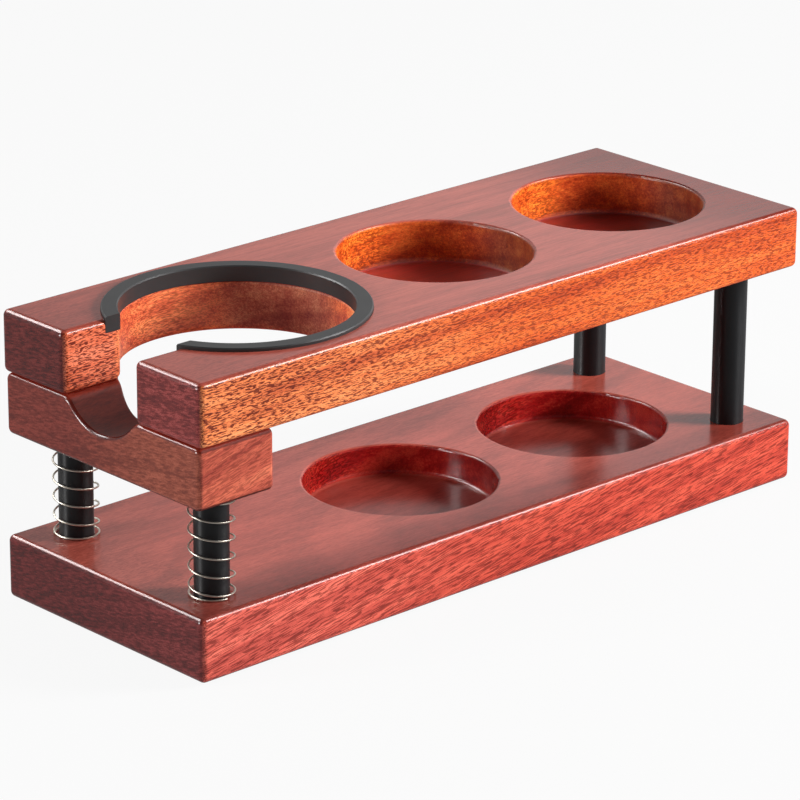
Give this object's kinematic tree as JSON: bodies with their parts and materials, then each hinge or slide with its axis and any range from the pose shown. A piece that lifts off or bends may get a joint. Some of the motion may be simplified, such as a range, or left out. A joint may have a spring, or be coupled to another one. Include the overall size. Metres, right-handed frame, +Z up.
{
  "type": "espresso tamping station",
  "caption": "Two-deck wooden stand with an open filter-holder seat, a sprung notched neck bar and round tool pockets in both boards.",
  "frame": {"origin": "on the table under the middle of the base board, at the bottom of the rubber feet", "axes": "+X along the boards away from the sliding bar, +Y across the boards, +Z up"},
  "size_m": [0.247, 0.09, 0.0931],
  "materials": {
    "wood": "clear gloss lacquer over red-brown hardwood",
    "ring_plastic": "satin black",
    "post_black": "satin black coating",
    "spring_wire": "bright nickel-plated wire",
    "screw_steel": "zinc-plated",
    "insert_brass": "turned",
    "foot_rubber": "matt"
  },
  "bodies": {
    "stand": {"base_board": "wood", "top_board": "wood", "seat_ring": "ring_plastic", "spring_left": "spring_wire", "spring_right": "spring_wire", "base_screws": "screw_steel", "screw_washers": "screw_steel", "deck_inserts": "insert_brass", "foot_front_left": "foot_rubber", "foot_front_right": "foot_rubber", "foot_rear_left": "foot_rubber", "foot_rear_right": "foot_rubber", "post_front_left": "post_black", "post_front_right": "post_black", "post_rear_left": "post_black", "post_rear_right": "post_black"},
    "sliding_bar": {"neck_rest": "wood"}
  },
  "joints": [
    {"name": "bar_slide", "type": "slide", "parent": "stand", "child": "sliding_bar", "axis": [0, 0, 1], "range_m": [-0.024, 0], "stiffness_N_per_m": 200, "springref_m": 0.0075, "deforming": ["spring_left", "spring_right"]}
  ]
}
